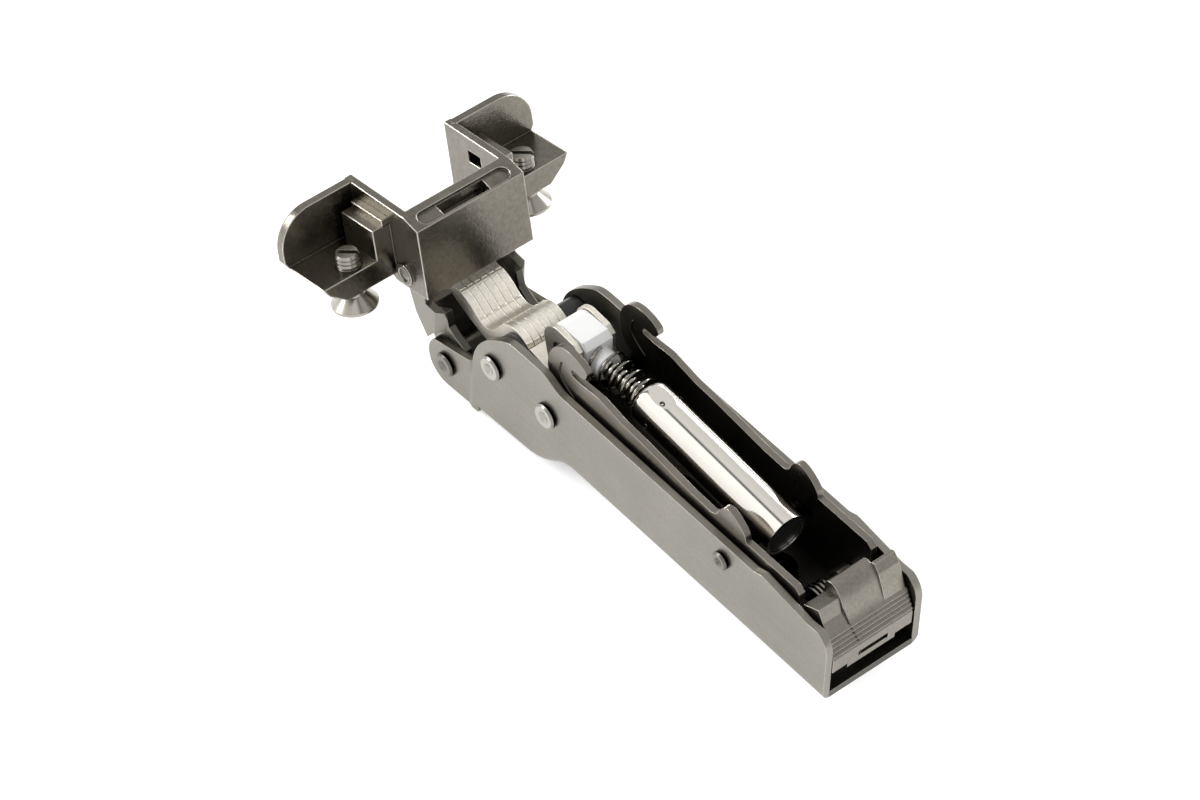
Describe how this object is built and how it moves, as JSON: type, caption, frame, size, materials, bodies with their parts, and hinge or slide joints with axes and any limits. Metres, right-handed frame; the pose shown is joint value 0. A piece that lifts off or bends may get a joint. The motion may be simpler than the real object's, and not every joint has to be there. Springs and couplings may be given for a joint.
{
  "type": "soft close hinge",
  "caption": "Concealed cabinet hinge with folded arm, clip-on inner channel, lever stack, soft close damper and die-cast bracket for a framed door.",
  "frame": {"origin": "middle of the hinge's length and width, at the lowest point of the nose", "axes": "+X along the arm towards its rear end, +Z out of the arm's open side, Y across the hinge"},
  "size_m": [0.1064, 0.0472, 0.0287],
  "materials": {
    "arm_nickel": "satin nickel plate on folded sheet, fine scratches",
    "carrier_nickel": "satin nickel plate with brighter stamped edges",
    "cast_nickel": "nickel plated die casting, grainy with bright worn edges",
    "lever_nickel": "matte pale nickel on stamped plates",
    "rivet_bright": "bright turned rivet",
    "rivet_grey": "satin rivet",
    "tube_nickel": "polished warm nickel tube",
    "white_plastic": "light grey white moulded plastic",
    "black_plastic": "black moulded plastic",
    "spring_wire": "dark shiny spring wire"
  },
  "bodies": {
    "arm": {"outer_arm": "arm_nickel", "nose_rivet": "rivet_grey", "nose_spacer": "arm_nickel", "lever_rivet": "rivet_bright", "left_spacer": "black_plastic", "right_spacer": "black_plastic", "rocker_rivet": "rivet_bright", "damper_rivet": "rivet_grey"},
    "carrier": {"carrier_channel": "carrier_nickel", "clip_lever_pin": "rivet_grey", "clip_spring": "spring_wire"},
    "outer_lever": {"outer_lever": "arm_nickel"},
    "lever_stack": {"lever_plate_1": "lever_nickel", "lever_plate_2": "lever_nickel", "lever_plate_3": "lever_nickel", "lever_plate_4": "lever_nickel", "lever_plate_5": "lever_nickel", "lever_plate_6": "lever_nickel"},
    "bracket": {"door_bracket": "cast_nickel", "lever_pins": "rivet_bright", "stack_pin": "rivet_grey", "frame_screws": "rivet_bright"},
    "yoke": {"rocker_yoke": "lever_nickel", "pusher_pin": "rivet_grey"},
    "pusher": {"pusher_head": "white_plastic", "piston_rod": "rivet_bright", "inner_spring": "spring_wire", "outer_spring": "spring_wire"},
    "damper": {"damper_cylinder": "tube_nickel", "damper_plug": "black_plastic"},
    "cam": {"depth_cam": "rivet_grey"},
    "clip": {"clip_lever": "cast_nickel"}
  },
  "joints": [
    {"name": "outer_lever_turn", "type": "hinge", "parent": "arm", "child": "outer_lever", "pos_m": [-0.03061, 0, 0.0042], "axis": [0, -1, 0], "range_deg": [-2.32, 11.57]},
    {"name": "bracket_fold", "type": "hinge", "parent": "outer_lever", "child": "bracket", "pos_m": [-0.03854, 0, 0.01781], "axis": [0, -1, 0], "range_deg": [-12.78, 66.03]},
    {"name": "lever_stack_turn", "type": "hinge", "parent": "arm", "child": "lever_stack", "pos_m": [-0.01971, 0, 0.0129], "axis": [0, -1, 0], "range_deg": [-3.37, 17]},
    {"name": "yoke_turn", "type": "hinge", "parent": "arm", "child": "yoke", "pos_m": [-0.00731, 0, 0.0132], "axis": [0, 1, 0], "range_deg": [-2.33, 11.6]},
    {"name": "pusher_turn", "type": "hinge", "parent": "yoke", "child": "pusher", "pos_m": [-0.01161, 0, 0.0201], "axis": [0, -1, 0], "range_deg": [-2.33, 11.6], "deforming": ["inner_spring", "outer_spring"]},
    {"name": "damper_swing", "type": "hinge", "parent": "arm", "child": "damper", "pos_m": [0.03109, 0, 0.0161], "axis": [0, 1, 0], "range_deg": [-0.25, 0.88]},
    {"name": "depth_slide", "type": "slide", "parent": "arm", "child": "carrier", "axis": [1, 0, 0], "range_m": [-0.0015, 0.0015]},
    {"name": "depth_cam_turn", "type": "hinge", "parent": "arm", "child": "cam", "pos_m": [0.03289, 0, 0.0078], "axis": [0, 0, 1], "range_deg": [-60.5, 60.5]},
    {"name": "clip_lever_turn", "type": "hinge", "parent": "carrier", "child": "clip", "pos_m": [0.04199, 0, 0.0114], "axis": [0, 1, 0], "range_deg": [0, 12], "stiffness_Nm_per_rad": 0.05, "springref_deg": -11.46}
  ],
  "couplings": [
    {"joint": "outer_lever_turn", "follows": "bracket_fold", "ratio": 0.17371},
    {"joint": "lever_stack_turn", "follows": "bracket_fold", "ratio": 0.25587},
    {"joint": "yoke_turn", "follows": "bracket_fold", "ratio": 0.17418},
    {"joint": "pusher_turn", "follows": "bracket_fold", "ratio": 0.17418},
    {"joint": "damper_swing", "follows": "bracket_fold", "ratio": 0.011737},
    {"joint": "depth_cam_turn", "follows": "depth_slide", "rad_per_m": 698.13}
  ]
}
